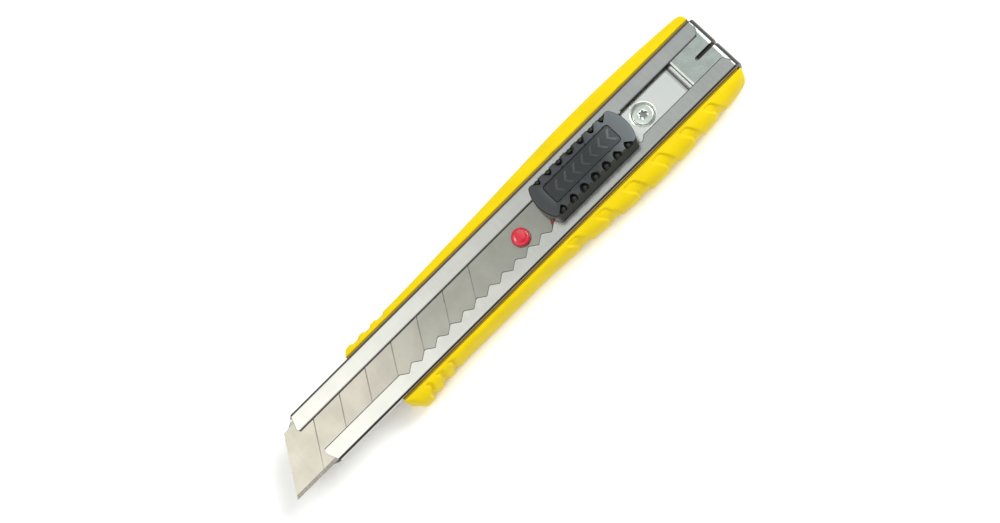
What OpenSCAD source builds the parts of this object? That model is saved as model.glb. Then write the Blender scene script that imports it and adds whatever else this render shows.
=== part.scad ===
// Snap-off utility knife, 18 mm blade: a folded steel channel in a plastic handle with soft grips,
// an auto-lock slider that carries the blade, and a blade-snapping clip at the rear.
// +X runs along the knife to its rear, +Y to the blade's spine side, +Z out of the slider face.
// The knife lies on its back, and the origin is at the middle of its box, on that resting plane.

/* [Overall] */
// Length from the blade's tip to the rear face of the end clip
overall_len = 187.5; // [187:0.1:188]
// Width over both grips at the widest place
grip_span = 34.4; // [33.6:0.1:35]
// Height of the channel's top face above the resting plane
face_z = 13; // [12.8:0.1:15]

/* [Blade channel] */
// Outside width of the folded channel
chan_w = 21.4; // [21.3:0.05:21.5]
// Outside height of the folded channel
chan_h = 2.8; // [2.8:0.05:3]
// Thickness of the steel sheet
sheet = 0.6; // [0.55:0.01:0.6]
// Outside radius of the channel's folds
bend_r = 1.1; // [1:0.05:1.1]
// Half width of the slot between the two flanges
slot_half = 4.72; // [4.65:0.01:4.8]
// Half width of the slot behind the tooth row
slot_half_rear = 5.2; // [5:0.05:5.4]
// Distance between two lock notches, half a blade segment
tooth_pitch = 5.5; // [5.5:0.1:5.5]
// Number of lock notches along the edge-side flange
tooth_count = 19; // [17:1:19]
// Depth of a lock notch
tooth_depth = 1.73; // [1.7:0.01:1.8]

/* [Blade] */
// Width of the snap-off blade
blade_w = 18; // [18:0.1:18]
// Thickness of the blade
blade_t = 0.5; // [0.4:0.05:0.5]
// Length of one snap-off segment
segment_len = 11; // [10.5:0.1:11.2]
// Number of score lines
score_count = 7; // [5:1:7]
// Angle of the blade's front edge and score lines, from the cutting edge
snap_angle = 60; // [58:0.5:61]
// Distance from the channel's middle to the blade's middle, toward the cutting edge
blade_offset = 1; // [0.9:0.05:1]

/* [Slider] */
// Length of the slider button
button_len = 37.4; // [37:0.1:38]
// Width of the slider button at its foot
button_w = 14.2; // [14:0.1:15]
// Height of the button's top face above the channel's top face
button_rise = 6.7; // [6:0.1:7.2]
// Grip pockets along each side of the button
pocket_count = 7; // [5:1:7]
// Radius of the blade stud
stud_r = 2.95; // [2.9:0.01:2.97]
// Travel of the button to either side of its middle, which works the lock
button_shift = 0.8; // [0.6:0.1:0.8]

/* [Handle] */
// Thickness of the soft pad on the knife's back
pad_t = 1.2; // [1:0.1:1.5]
// Half width of the hard core, to the outside of its side lips
core_half = 11.3; // [11.25:0.05:11.5]
// Wall of the hard core between its moulded pockets
core_wall = 1.8; // [1.5:0.1:2]

/* [End clip] */
// Thickness of the clip's steel
clip_t = 0.8; // [0.7:0.05:0.8]
// Width of the slot that snaps blade segments off
snap_slot_w = 1.36; // [1.2:0.02:1.6]

/* [Hidden] */
$fn = 64;
eps = 0.02;
far = 200;

// Places along X, from the blade's tip
tip_x = -overall_len / 2;
stud_x = tip_x + 103.35;
tail_x = tip_x + 115.45;
first_score_x = tip_x + 17.25;
spine_wall_x = tip_x + 15.45;
edge_wall_x = tip_x + 17.65;
first_notch_x = tip_x + 50.65;
slider_x = tip_x + 131.75;
front_screw_x = tip_x + 53.75;
rear_screw_x = tip_x + 155.95;
stop_rib_x = tip_x + 171.1;
chan_rear_x = tip_x + 185.85;
core_rear_x = tip_x + 185.35;
clip_rear_x = overall_len / 2;

// Heights of the channel
chan_z = face_z - chan_h;
floor_z = chan_z + sheet;
flange_z = face_z - sheet;

// Heights of what slides in it
run_gap = 0.05;
tongue_z = floor_z + run_gap;
tongue_top = tongue_z + 0.85;
blade_top = tongue_top + blade_t;
tongue_half = chan_w / 2 - bend_r - 0.1;
tongue_front = slider_x - 33;
tongue_rear = slider_x + 17;

// Slider base and the cavity that the button leaves for it
neck_half = 4.3;
neck_front = slider_x - 12.8;
neck_rear = slider_x + 13;
neck_top = face_z + 0.15;
plate_half_len = 12;
plate_half = 5.6;
plate_foot_half = 5.2;
plate_step_z = face_z + 0.6;
plate_top = face_z + 2.2;
cavity_half_len = plate_half_len + 3.2 + button_shift;
cavity_half = plate_half + 0.15;
cavity_top = plate_top + 0.4;
button_foot_z = face_z + 0.3;
button_top_z = face_z + button_rise;
button_top_half = button_w / 2 - 0.66;
end_arc_rise = 2.2;

// Lock pawl, over a notch when the slider is at rest
pawl_x = first_notch_x + 15 * tooth_pitch;
pawl_half = 2.2;
pawl_z = flange_z + run_gap;
pawl_step_z = face_z + run_gap;
pawl_top = face_z + 1.1;
pawl_back_y = 1.2;
pocket_back_y = 3.3;

// Channel screws in their dimples
dimple_depth = 1.3;
dimple_r = 4.3;
dimple_floor_r = 3.4;
dimple_z = floor_z - dimple_depth;
screw_hole_r = 1.65;
screw_r = 1.45;
screw_head_r = 3;
screw_head_h = 1.2;
screw_len = 5.6;
insert_r = 2.28;
insert_len = 5;
insert_top = dimple_z - sheet - 0.1;

// Rivets through the carrier and the slider base
rivet_r = 0.98;
rivet_head_r = 1.65;
rivet_reach = 8.5;

// Clip
clip_top = flange_z - 0.1;
clip_bend_r = 2.5;
clip_lip_r = 1;
clip_half = 9.7;
clip_wall_half = 10.3;
clip_front_x = tip_x + 172.25;
clip_foot_z = face_z - 8.4;
snap_slot_x = tip_x + 179.35;

// Grip outlines as [x from the tip, half width], chosen at the bends of each side
grip_max = grip_span / 2;
spine_outline = [
    [39.75, -5.2], [41.35, -2.9], [57.75, -2.8], [88.75, -1.8], [118.75, -0.6],
    [135.75, 0], [148.75, 0], [164.75, -0.55], [179.75, -1.6], [183.25, -2.05],
    [184.95, -3], [185.6, -4.6]
];
edge_outline = [
    [43.65, -5.2], [47.05, -1.5], [49.75, -1.3], [52.25, -1.9], [59.75, -2.9],
    [69.75, -3.4], [101.75, -3.4], [111.75, -2.8], [125.75, -1.4], [141.75, 0],
    [153.75, 0], [166.75, -0.8], [177.75, -1.9], [182.75, -2.6], [185.55, -4],
    [186.35, -5.2]
];
grip_steps = 40;
section_steps = 12;
section_power = 2.6;
grip_top = face_z - 1.1;
lip_top = face_z - 1.3;

// Half width of a grip at x: the outline's points joined by straight lines
function grip_half(outline, x) = grip_max + lookup(x - tip_x, outline);

// One grip section: a superellipse from the top edge, round the side, to the resting plane
function grip_section(x, half) = [
    for (i = [0 : section_steps])
        let (t = 180 * i / section_steps, h = grip_top / 2, c = cos(t))
        [x,
         core_half + (half - core_half) * pow(sin(t), 2 / section_power),
         h + sign(c) * h * pow(abs(c), 2 / section_power)]
];

module grip(outline) {
    n = section_steps + 1;
    first = outline[0][0];
    last = outline[len(outline) - 1][0];
    knots = [for (p = outline) p[0]];
    evens = [for (i = [1 : grip_steps - 1]) first + (last - first) * i / grip_steps];
    near = [for (e = evens) if (min([for (k = knots) abs(k - e)]) > 0.9) e];
    stations = sorted(concat(knots, near));
    rings = [for (s = stations) grip_section(tip_x + s, grip_half(outline, tip_x + s))];
    count = len(stations);
    points = [for (ring = rings) each ring];
    walls = [
        for (s = [0 : count - 2], i = [0 : n - 1])
            let (j = (i + 1) % n, a = s * n, b = (s + 1) * n)
            each [[a + i, a + j, b + i], [a + j, b + j, b + i]]
    ];
    front_cap = [[for (i = [n - 1 : -1 : 0]) i]];
    rear_cap = [[for (i = [0 : n - 1]) (count - 1) * n + i]];
    polyhedron(points, concat(walls, front_cap, rear_cap), convexity = 4);
}

// Quick sort of a list of numbers
function sorted(list) = len(list) <= 1 ? list :
    let (pivot = list[floor(len(list) / 2)])
    concat(
        sorted([for (v = list) if (v < pivot) v]),
        [pivot],
        sorted([for (v = list) if (v > pivot) v])
    );

// A box from x0 to x1, y0 to y1, z0 to z1
module span_box(x0, x1, y0, y1, z0, z1) {
    translate([x0, y0, z0]) cube([x1 - x0, y1 - y0, z1 - z0]);
}

// Extrudes a YZ profile along X, from x0 to x1
module along_x(x0, x1) {
    translate([x0, 0, 0]) rotate([90, 0, 90]) linear_extrude(x1 - x0) children();
}

// Extrudes an XZ profile along Y, to half on either side of the middle
module across_y(half) {
    translate([0, half, 0]) rotate([90, 0, 0]) linear_extrude(2 * half) children();
}

module rounded_rect(w, h, r) {
    square([w - 2 * r, h], center = true);
    square([w, h - 2 * r], center = true);
    for (sx = [-1, 1], sy = [-1, 1])
        translate([sx * (w / 2 - r), sy * (h / 2 - r)]) circle(r);
}

// Closed tube profile of the folded sheet, before the slot is cut
module channel_profile() {
    translate([0, chan_z + chan_h / 2]) difference() {
        rounded_rect(chan_w, chan_h, bend_r);
        rounded_rect(chan_w - 2 * sheet, chan_h - 2 * sheet, bend_r - sheet);
    }
}

// Sheet pressed down round one screw
module dimple(x) {
    t = sheet;
    translate([x, 0, dimple_z]) rotate_extrude() polygon([
        [screw_hole_r, -t], [dimple_floor_r + 0.3, -t], [dimple_r + 0.3, dimple_depth - t],
        [dimple_r + 0.3, dimple_depth], [dimple_r, dimple_depth], [dimple_floor_r, 0],
        [screw_hole_r, 0]
    ]);
}

// Lock notches: a row of V cuts in the edge-side flange
module notch_row() {
    half = tooth_pitch / 2 - 0.37;
    for (k = [0 : tooth_count - 1])
        translate([first_notch_x + k * tooth_pitch, -slot_half]) polygon([
            [-half, 0], [-half, 0.1], [half, 0.1], [half, 0], [0, -tooth_depth]
        ]);
}

// Slot between the flanges, open at the front, wider behind the notches
module slot_outline() {
    step_x = first_notch_x + (tooth_count - 1) * tooth_pitch + 2;
    translate([-far, -slot_half]) square([far + step_x, 2 * slot_half]);
    translate([step_x - 0.5, -slot_half_rear]) square([far, 2 * slot_half_rear]);
    notch_row();
}

// What the front of both flanges loses: each prong leans toward the slot and has a soft corner
module flange_front_trim() {
    out = chan_w / 2;
    polygon([
        [-far, out + 1], [spine_wall_x, out + 1], [spine_wall_x, out - 0.6],
        [spine_wall_x - 1.4, slot_half + 1.2], [spine_wall_x - 1.25, slot_half + 0.5],
        [spine_wall_x - 0.6, slot_half], [spine_wall_x - 0.6, 0], [edge_wall_x - 0.95, 0],
        [edge_wall_x - 0.95, -slot_half], [edge_wall_x - 1.6, -slot_half - 0.6],
        [edge_wall_x - 1.8, -slot_half - 1.6], [edge_wall_x - 0.4, -out + 1.1],
        [edge_wall_x, -out], [edge_wall_x, -out - 1], [-far, -out - 1]
    ]);
}

// What the front of the floor loses: a nose stays under the blade
module floor_front_trim() {
    out = chan_w / 2;
    polygon([
        [-far, out + 1], [spine_wall_x, out + 1], [spine_wall_x, out],
        [spine_wall_x - 3.8, out - 2.7], [edge_wall_x - 3.3, -out + 1.4],
        [edge_wall_x, -out], [edge_wall_x, -out - 1], [-far, -out - 1]
    ]);
}

// Soft corners at the rear end of each flange
module flange_rear_trim(r = 2.6) {
    for (s = [-1, 1]) scale([1, s]) difference() {
        translate([chan_rear_x - r, slot_half_rear - 0.2]) square([r + 1, r + 0.2]);
        translate([chan_rear_x - r, slot_half_rear + r]) circle(r);
    }
}

module blade_channel() {
    color([0.78, 0.78, 0.76]) {
        difference() {
            along_x(spine_wall_x - 4, chan_rear_x) channel_profile();
            translate([0, 0, flange_z - 0.3]) linear_extrude(sheet + 1) slot_outline();
            translate([0, 0, floor_z]) linear_extrude(chan_h) flange_front_trim();
            translate([0, 0, chan_z - 1]) linear_extrude(sheet + 1 + eps) floor_front_trim();
            translate([0, 0, flange_z - 0.3]) linear_extrude(sheet + 1) flange_rear_trim();
            for (x = [front_screw_x, rear_screw_x])
                translate([x, 0, chan_z - 1]) cylinder(h = sheet + 2, r = dimple_r + 0.15);
        }
        dimple(front_screw_x);
        dimple(rear_screw_x);
        span_box(stop_rib_x - 0.3, stop_rib_x + 0.3, -8, 8, floor_z - 0.2, floor_z + 0.4);
    }
}

// Outline of the core and of the pad on its back; the front end leans like the grips' ends
module core_outline() {
    polygon([
        [tip_x + 40.4, core_half], [core_rear_x, core_half],
        [core_rear_x, -core_half], [tip_x + 44, -core_half]
    ]);
}

// Moulded pockets in the back of the core, with ribs between them
module core_pockets(count = 7) {
    first = tip_x + 48;
    last = core_rear_x - core_wall;
    pitch = (last - first) / count;
    half = core_half - core_wall;
    for (i = [0 : count - 1])
        span_box(first + i * pitch, first + (i + 1) * pitch - core_wall, -half, half,
                 0, chan_z - core_wall);
}

module handle_core() {
    color([0.80, 0.66, 0.02]) difference() {
        translate([0, 0, pad_t]) linear_extrude(lip_top - pad_t) core_outline();
        span_box(-far, far, -chan_w / 2 - run_gap, chan_w / 2 + run_gap, chan_z, face_z);
        difference() {
            core_pockets();
            for (x = [front_screw_x, rear_screw_x])
                translate([x, 0, 0]) cylinder(h = face_z, r = dimple_r + 1.9);
        }
        for (x = [front_screw_x, rear_screw_x]) translate([x, 0, 0]) {
            translate([0, 0, dimple_z - sheet - run_gap]) cylinder(h = face_z, r = dimple_r + 0.5);
            translate([0, 0, insert_top - insert_len - 0.6]) cylinder(h = face_z, r = insert_r + eps);
        }
    }
}

module palm_pad() {
    color([0.93, 0.80, 0.02]) linear_extrude(pad_t) core_outline();
}

module spine_grip() {
    color([0.96, 0.85, 0.02]) grip(spine_outline);
}

module edge_grip() {
    color([0.96, 0.85, 0.02]) mirror([0, 1, 0]) grip(edge_outline);
}

// Six-lobed driving recess
module drive_recess(depth) {
    linear_extrude(depth) {
        circle(1.05);
        for (a = [0 : 60 : 300]) rotate(a) translate([1.05, 0]) circle(0.34);
    }
}

module channel_screw(x) {
    color([0.72, 0.76, 0.72]) translate([x, 0, dimple_z]) difference() {
        union() {
            translate([0, 0, -screw_len]) cylinder(h = screw_len + eps, r = screw_r);
            rotate_extrude() polygon([
                [0, 0], [screw_head_r, 0], [screw_head_r, screw_head_h - 0.5],
                [screw_head_r - 0.3, screw_head_h - 0.15], [screw_head_r - 0.8, screw_head_h],
                [0, screw_head_h]
            ]);
        }
        translate([0, 0, screw_head_h - 0.9]) drive_recess(1);
    }
}

module front_channel_screw() { channel_screw(front_screw_x); }

module rear_channel_screw() { channel_screw(rear_screw_x); }

module threaded_insert(x) {
    color([0.78, 0.62, 0.28]) translate([x, 0, insert_top - insert_len]) difference() {
        cylinder(h = insert_len, r = insert_r);
        translate([0, 0, -1]) cylinder(h = insert_len + 2, r = screw_r + run_gap);
    }
}

module front_insert() { threaded_insert(front_screw_x); }

module rear_insert() { threaded_insert(rear_screw_x); }

// Distance along X that a line at the snap angle gains over a distance in Y
function lean(y) = y / tan(snap_angle);

module snap_blade() {
    edge_y = -blade_offset - blade_w / 2;
    spine_y = edge_y + blade_w;
    bevel = 1.15;
    mid_z = tongue_top + blade_t / 2;
    color([0.76, 0.75, 0.72]) difference() {
        intersection() {
            along_x(tip_x - 1, tail_x + far) polygon([
                [edge_y, mid_z], [edge_y + bevel, tongue_top], [spine_y, tongue_top],
                [spine_y, blade_top], [edge_y + bevel, blade_top]
            ]);
            linear_extrude(face_z) polygon([
                [tip_x, edge_y], [tip_x + lean(blade_w), spine_y],
                [tail_x + lean(spine_y), spine_y], [tail_x + lean(edge_y), edge_y]
            ]);
        }
        translate([stud_x, -blade_offset, 0]) cylinder(h = face_z, r = stud_r + 0.1);
        for (k = [0 : score_count - 1])
            translate([first_score_x + k * segment_len, 0, blade_top]) rotate([0, 0, -90 + snap_angle])
                cube([0.3, 3 * blade_w, 0.24], center = true);
    }
}

module blade_carrier() {
    spine_y = blade_w / 2 - blade_offset;
    color([0.80, 0.12, 0.20]) difference() {
        union() {
            span_box(tongue_front, tongue_rear, -tongue_half, tongue_half, tongue_z, tongue_top);
            span_box(tongue_front, tongue_rear, spine_y + 0.15, tongue_half, tongue_z, blade_top);
            translate([stud_x, -blade_offset, tongue_top]) rotate_extrude() polygon([
                [0, -0.2], [stud_r, -0.2], [stud_r, face_z + 0.4 - tongue_top],
                [stud_r - 0.55, face_z + 1 - tongue_top], [0, face_z + 1 - tongue_top]
            ]);
        }
        for (s = [-1, 1]) translate([slider_x + s * rivet_reach, 0, 0]) {
            cylinder(h = face_z, r = rivet_r + eps);
            cylinder(h = tongue_z + 0.4, r = rivet_head_r + run_gap);
        }
    }
}

module slider_base() {
    color([0.16, 0.16, 0.17]) difference() {
        union() {
            span_box(neck_front, neck_rear, -neck_half, neck_half, tongue_top + eps, neck_top);
            span_box(slider_x - plate_half_len, slider_x + plate_half_len,
                     -plate_foot_half, plate_foot_half, neck_top - eps, plate_step_z + eps);
            span_box(slider_x - plate_half_len, slider_x + plate_half_len,
                     -plate_half, plate_half, plate_step_z, plate_top);
        }
        span_box(pawl_x - pawl_half - 0.1, pawl_x + pawl_half + 0.1, -plate_half - 1, pocket_back_y,
                 pawl_z - 0.1, pawl_top + 0.1);
        for (s = [-1, 1]) translate([slider_x + s * rivet_reach, 0, 0]) {
            cylinder(h = face_z * 2, r = rivet_r + eps);
            translate([0, 0, plate_top - 0.4]) cylinder(h = 1, r = rivet_head_r + run_gap);
        }
    }
}

module rivet(x) {
    foot = tongue_z + run_gap;
    color([0.62, 0.62, 0.62]) translate([x, 0, 0]) {
        translate([0, 0, foot]) cylinder(h = plate_top - 0.05 - foot, r = rivet_r);
        translate([0, 0, foot]) cylinder(h = 0.35, r = rivet_head_r);
        translate([0, 0, plate_top - 0.4]) cylinder(h = 0.35, r = rivet_head_r);
    }
}

module front_rivet() { rivet(slider_x - rivet_reach); }

module rear_rivet() { rivet(slider_x + rivet_reach); }

// Button outline: straight sides and ends that bulge as shallow arcs
module button_outline(half, inset) {
    arc_r = half * half / (2 * end_arc_rise) + end_arc_rise / 2;
    reach = button_len / 2 - inset;
    translate([slider_x, 0]) intersection() {
        square([2 * reach, 2 * half], center = true);
        union() {
            square([2 * (reach - end_arc_rise), 2 * half], center = true);
            for (s = [-1, 1]) translate([s * (reach - arc_r), 0]) circle(arc_r, $fn = 96);
        }
    }
}

module slider_button() {
    pocket_pitch = 4.53;
    color([0.15, 0.15, 0.16]) difference() {
        hull() {
            translate([0, 0, button_foot_z]) linear_extrude(0.4) button_outline(button_w / 2, 0);
            translate([0, 0, button_top_z - 0.8]) linear_extrude(0.1)
                button_outline(button_top_half + 0.08, 0.1);
            translate([0, 0, button_top_z - 0.1]) linear_extrude(0.1)
                button_outline(button_top_half - 0.4, 0.5);
        }
        span_box(slider_x - cavity_half_len, slider_x + cavity_half_len, -cavity_half, cavity_half,
                 plate_step_z - 0.05, cavity_top);
        span_box(slider_x - cavity_half_len, slider_x + cavity_half_len,
                 -plate_foot_half - 0.15, plate_foot_half + 0.15, 0, plate_step_z);
        for (s = [-1, 1], k = [0 : pocket_count - 1])
            translate([slider_x + (k - (pocket_count - 1) / 2) * pocket_pitch,
                       s * (button_top_half - 0.8), button_top_z - 1.6])
                cylinder(h = 3, r = 1.25);
    }
}

module lock_pawl() {
    color([0.66, 0.67, 0.68]) translate([pawl_x, 0, 0]) {
        translate([0, 0, pawl_z]) linear_extrude(pawl_step_z - pawl_z + eps) polygon([
            [-pawl_half, pawl_back_y], [pawl_half, pawl_back_y], [pawl_half, -2.65],
            [0.3, -4.05], [-0.3, -4.05], [-pawl_half, -2.65]
        ]);
        span_box(-pawl_half, pawl_half, -3.3, pawl_back_y, pawl_step_z, pawl_top);
    }
}

// Coil spring along +Z from the origin: a six-sided wire swept round a helix
module coil_spring(length, mean_r, wire_d, turns) {
    per_turn = 14;
    sides = 6;
    rings = per_turn * turns;
    rise = length - wire_d;
    points = [
        for (k = [0 : rings], i = [0 : sides - 1])
            let (a = 360 * k / per_turn, w = -360 * i / sides, r = mean_r + wire_d / 2 * cos(w))
            [r * cos(a), r * sin(a), wire_d / 2 + rise * k / rings + wire_d / 2 * sin(w)]
    ];
    walls = [
        for (k = [0 : rings - 1], i = [0 : sides - 1])
            let (j = (i + 1) % sides, a = k * sides, b = (k + 1) * sides)
            each [[a + i, b + i, a + j], [a + j, b + i, b + j]]
    ];
    front_cap = [[for (i = [0 : sides - 1]) i]];
    rear_cap = [[for (i = [sides - 1 : -1 : 0]) rings * sides + i]];
    polyhedron(points, concat(walls, front_cap, rear_cap), convexity = 8);
}

module pawl_spring() {
    gap = pocket_back_y - pawl_back_y;
    color([0.70, 0.70, 0.72]) translate([pawl_x, pocket_back_y - 0.05, (pawl_z + pawl_top) / 2])
        rotate([90, 0, 0]) coil_spring(gap - 0.1, 0.62, 0.24, 4);
}

module button_spring(x, toward) {
    gap = cavity_half_len - plate_half_len;
    color([0.70, 0.70, 0.72]) translate([x + toward * 0.05, 0, button_foot_z + 1.15])
        rotate([0, toward * 90, 0]) coil_spring(gap - 0.1, 0.8, 0.3, 5);
}

module front_button_spring() { button_spring(slider_x - plate_half_len, -1); }

module rear_button_spring() { button_spring(slider_x + plate_half_len, 1); }

// Side view of the clip: rolled front lip, flat plate, wide bend and end wall
module clip_side() {
    bend_x = clip_rear_x - clip_bend_r;
    bend_z = clip_top - clip_bend_r;
    lip_x = clip_front_x + clip_lip_r;
    translate([lip_x, clip_top - clip_t]) square([bend_x - lip_x, clip_t]);
    translate([clip_rear_x - clip_t, clip_foot_z]) square([clip_t, bend_z - clip_foot_z]);
    translate([bend_x, bend_z]) intersection() {
        difference() {
            circle(clip_bend_r);
            circle(clip_bend_r - clip_t);
        }
        square(clip_bend_r + 1);
    }
    translate([lip_x, clip_top - clip_lip_r]) intersection() {
        difference() {
            circle(clip_lip_r);
            circle(clip_lip_r - clip_t);
        }
        translate([-2, 0]) square(2);
    }
    translate([clip_front_x, floor_z + run_gap])
        square([clip_t, clip_top - clip_lip_r - floor_z - run_gap]);
}

module end_clip() {
    shoulder_x = chan_rear_x + 0.1;
    color([0.66, 0.69, 0.66]) difference() {
        union() {
            across_y(clip_half) clip_side();
            across_y(clip_wall_half) intersection() {
                clip_side();
                translate([shoulder_x, 0]) square([far, far]);
            }
        }
        span_box(snap_slot_x, far, -snap_slot_w / 2, snap_slot_w / 2, 0, face_z + 1);
        translate([snap_slot_x, 0, 0]) cylinder(h = face_z + 1, r = snap_slot_w / 2);
    }
}

blade_channel();
handle_core();
spine_grip();
edge_grip();
palm_pad();
front_channel_screw();
rear_channel_screw();
front_insert();
rear_insert();
snap_blade();
blade_carrier();
slider_base();
slider_button();
lock_pawl();
pawl_spring();
front_button_spring();
rear_button_spring();
front_rivet();
rear_rivet();
end_clip();
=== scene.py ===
"""Snap-off utility knife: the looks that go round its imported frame.

Lengths in this file are millimetres unless a name says otherwise; meshes are written in metres.
+X runs to the knife's rear, +Y to the blade's spine side and +Z out of the slider face.
"""

import math

import bmesh
import bpy
import numpy as np
from mathutils import Matrix, Vector


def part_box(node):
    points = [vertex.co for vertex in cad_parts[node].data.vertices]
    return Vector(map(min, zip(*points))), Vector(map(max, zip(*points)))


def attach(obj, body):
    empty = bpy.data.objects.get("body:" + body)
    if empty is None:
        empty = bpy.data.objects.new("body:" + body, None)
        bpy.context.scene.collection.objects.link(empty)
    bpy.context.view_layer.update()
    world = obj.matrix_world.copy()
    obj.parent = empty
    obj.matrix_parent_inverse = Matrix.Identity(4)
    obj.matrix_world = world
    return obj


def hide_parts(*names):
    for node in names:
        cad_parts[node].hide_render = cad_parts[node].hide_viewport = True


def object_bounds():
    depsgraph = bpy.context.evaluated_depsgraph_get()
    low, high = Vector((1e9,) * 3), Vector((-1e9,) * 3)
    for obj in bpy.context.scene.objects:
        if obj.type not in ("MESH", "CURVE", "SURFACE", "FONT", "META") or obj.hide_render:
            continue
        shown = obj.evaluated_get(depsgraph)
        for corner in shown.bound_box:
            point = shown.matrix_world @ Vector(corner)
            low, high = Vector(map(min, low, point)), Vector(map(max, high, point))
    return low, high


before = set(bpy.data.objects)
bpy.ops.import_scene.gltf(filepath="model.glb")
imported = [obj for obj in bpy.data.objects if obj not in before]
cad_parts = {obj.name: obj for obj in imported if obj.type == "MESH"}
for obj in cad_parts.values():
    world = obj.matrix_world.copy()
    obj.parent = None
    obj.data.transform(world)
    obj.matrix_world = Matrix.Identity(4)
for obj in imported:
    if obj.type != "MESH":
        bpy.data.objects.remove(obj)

bl_info = {
    "name": "Snap-off Utility Knife",
    "version": (1, 0, 0),
    "blender": (4, 5, 0),
    "location": "View3D > Sidebar > Knife",
    "description": "Builds the visible pieces of a snap-off utility knife round its frame",
    "category": "Add Mesh",
}

MM = 0.001
CAD_LOW, CAD_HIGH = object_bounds()


# ---------------------------------------------------------------- frame measures

def span(node_name):
    """Lowest and highest corner of a frame node, in millimetres."""
    low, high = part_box(node_name)
    return np.array(low) / MM, np.array(high) / MM


def linear(hex_colour):
    """An sRGB hex colour as linear red, green and blue."""
    parts = [int(hex_colour[i:i + 2], 16) / 255 for i in (0, 2, 4)]
    return tuple(c / 12.92 if c <= 0.04045 else ((c + 0.055) / 1.055) ** 2.4 for c in parts)


# ---------------------------------------------------------------- curves and meshes

def ease(start, stop, value):
    """0 before start, 1 after stop, and the cubic 3t^2 - 2t^3 between them."""
    t = np.clip((value - start) / (stop - start), 0.0, 1.0)
    return t * t * (3 - 2 * t)


def curve_through(knots, x):
    """Cubic Hermite curve through the knots; each slope is the harmonic mean of its neighbours'."""
    kx, ky = np.array(knots, float).T
    step = np.diff(kx)
    rise = np.diff(ky) / step
    slope = np.zeros_like(ky)
    same = rise[:-1] * rise[1:] > 0
    slope[1:-1][same] = 2 * rise[:-1][same] * rise[1:][same] / (rise[:-1][same] + rise[1:][same])
    slope[0], slope[-1] = rise[0], rise[-1]
    i = np.clip(np.searchsorted(kx, x) - 1, 0, len(step) - 1)
    t = np.clip((x - kx[i]) / step[i], 0, 1)
    h = step[i]
    return ((1 + 2 * t) * (1 - t) ** 2 * ky[i] + t * (1 - t) ** 2 * h * slope[i]
            + t * t * (3 - 2 * t) * ky[i + 1] + t * t * (t - 1) * h * slope[i + 1])


def grid_faces(rows, columns, close_columns=True):
    """Quads of a grid of points whose index is row * columns + column."""
    r, c = np.meshgrid(np.arange(rows - 1), np.arange(columns if close_columns else columns - 1),
                       indexing="ij")
    n = (c + 1) % columns
    quads = np.stack([r * columns + c, r * columns + n, (r + 1) * columns + n,
                      (r + 1) * columns + c], axis=-1)
    return quads.reshape(-1, 4)


def shell(points, close_columns=True):
    """Vertices and quads of a (rows, columns, 3) array of points."""
    rows, columns = points.shape[:2]
    return points.reshape(-1, 3), grid_faces(rows, columns, close_columns)


def with_caps(points):
    """Adds a pole at each end of a stack of closed rows, at the row's mean point."""
    first = np.broadcast_to(points[0].mean(0), points[0].shape)
    last = np.broadcast_to(points[-1].mean(0), points[-1].shape)
    return np.concatenate([first[None], points, last[None]])


def mesh_piece(name, shells, body, stands_for, material, crease=35):
    """One piece from shells in millimetres: doubles merged, faces turned outward, edges over crease kept."""
    made = bmesh.new()
    for points, quads in shells:
        part = bmesh.new()
        data = bpy.data.meshes.new("part")
        data.from_pydata((np.asarray(points) * MM).tolist(), [], [list(map(int, q)) for q in quads])
        part.from_mesh(data)
        bpy.data.meshes.remove(data)
        bmesh.ops.remove_doubles(part, verts=part.verts, dist=1e-7)
        bmesh.ops.dissolve_degenerate(part, edges=part.edges, dist=1e-7)
        bmesh.ops.recalc_face_normals(part, faces=part.faces)
        if part.calc_volume(signed=True) < 0:
            bmesh.ops.reverse_faces(part, faces=part.faces)
        joined = bpy.data.meshes.new("part")
        part.to_mesh(joined)
        part.free()
        made.from_mesh(joined)
        bpy.data.meshes.remove(joined)
    mesh = bpy.data.meshes.new(name)
    made.to_mesh(mesh)
    made.free()
    return finish_piece(name, mesh, body, stands_for, material, crease)


def finish_piece(name, mesh, body, stands_for, material, crease=35):
    """Links the mesh as a piece at the origin, with its body, slot, node and material."""
    mesh.shade_smooth()
    mesh.set_sharp_from_angle(angle=math.radians(crease))
    piece = bpy.data.objects.new(name, mesh)
    bpy.context.scene.collection.objects.link(piece)
    mesh.materials.append(material)
    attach(piece, body)
    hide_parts(*stands_for)
    return piece


def softened_copy(name, node_name, body, material, radius, segments=2, crease=30):
    """A frame node's mesh with its doubles merged, flat faces joined and edges rounded."""
    made = bmesh.new()
    made.from_mesh(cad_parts[node_name].data)
    bmesh.ops.remove_doubles(made, verts=made.verts, dist=2e-6)
    bmesh.ops.dissolve_limit(made, angle_limit=math.radians(0.6), verts=made.verts,
                             edges=made.edges, delimit={"NORMAL"})
    mesh = bpy.data.meshes.new(name)
    made.to_mesh(mesh)
    made.free()
    piece = finish_piece(name, mesh, body, [node_name], material, crease)
    bevel = piece.modifiers.new("edge rounding", "BEVEL")
    bevel.width = radius * MM
    bevel.segments = segments
    bevel.limit_method = "ANGLE"
    bevel.angle_limit = math.radians(32)
    bevel.use_clamp_overlap = False
    bevel.harden_normals = True
    return piece


def dress(node_name, material):
    """Gives a frame node that stays its material."""
    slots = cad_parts[node_name].data.materials
    slots.clear()
    slots.append(material)


# ---------------------------------------------------------------- materials

def add(tree, kind, inputs=None, **settings):
    """Adds a node with its settings; an input is a value or the socket that feeds it."""
    made = tree.nodes.new(kind)
    for key, value in settings.items():
        setattr(made, key, value)
    for key, value in (inputs or {}).items():
        if isinstance(value, bpy.types.NodeSocket):
            tree.links.new(value, made.inputs[key])
        else:
            made.inputs[key].default_value = value
    return made


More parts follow.
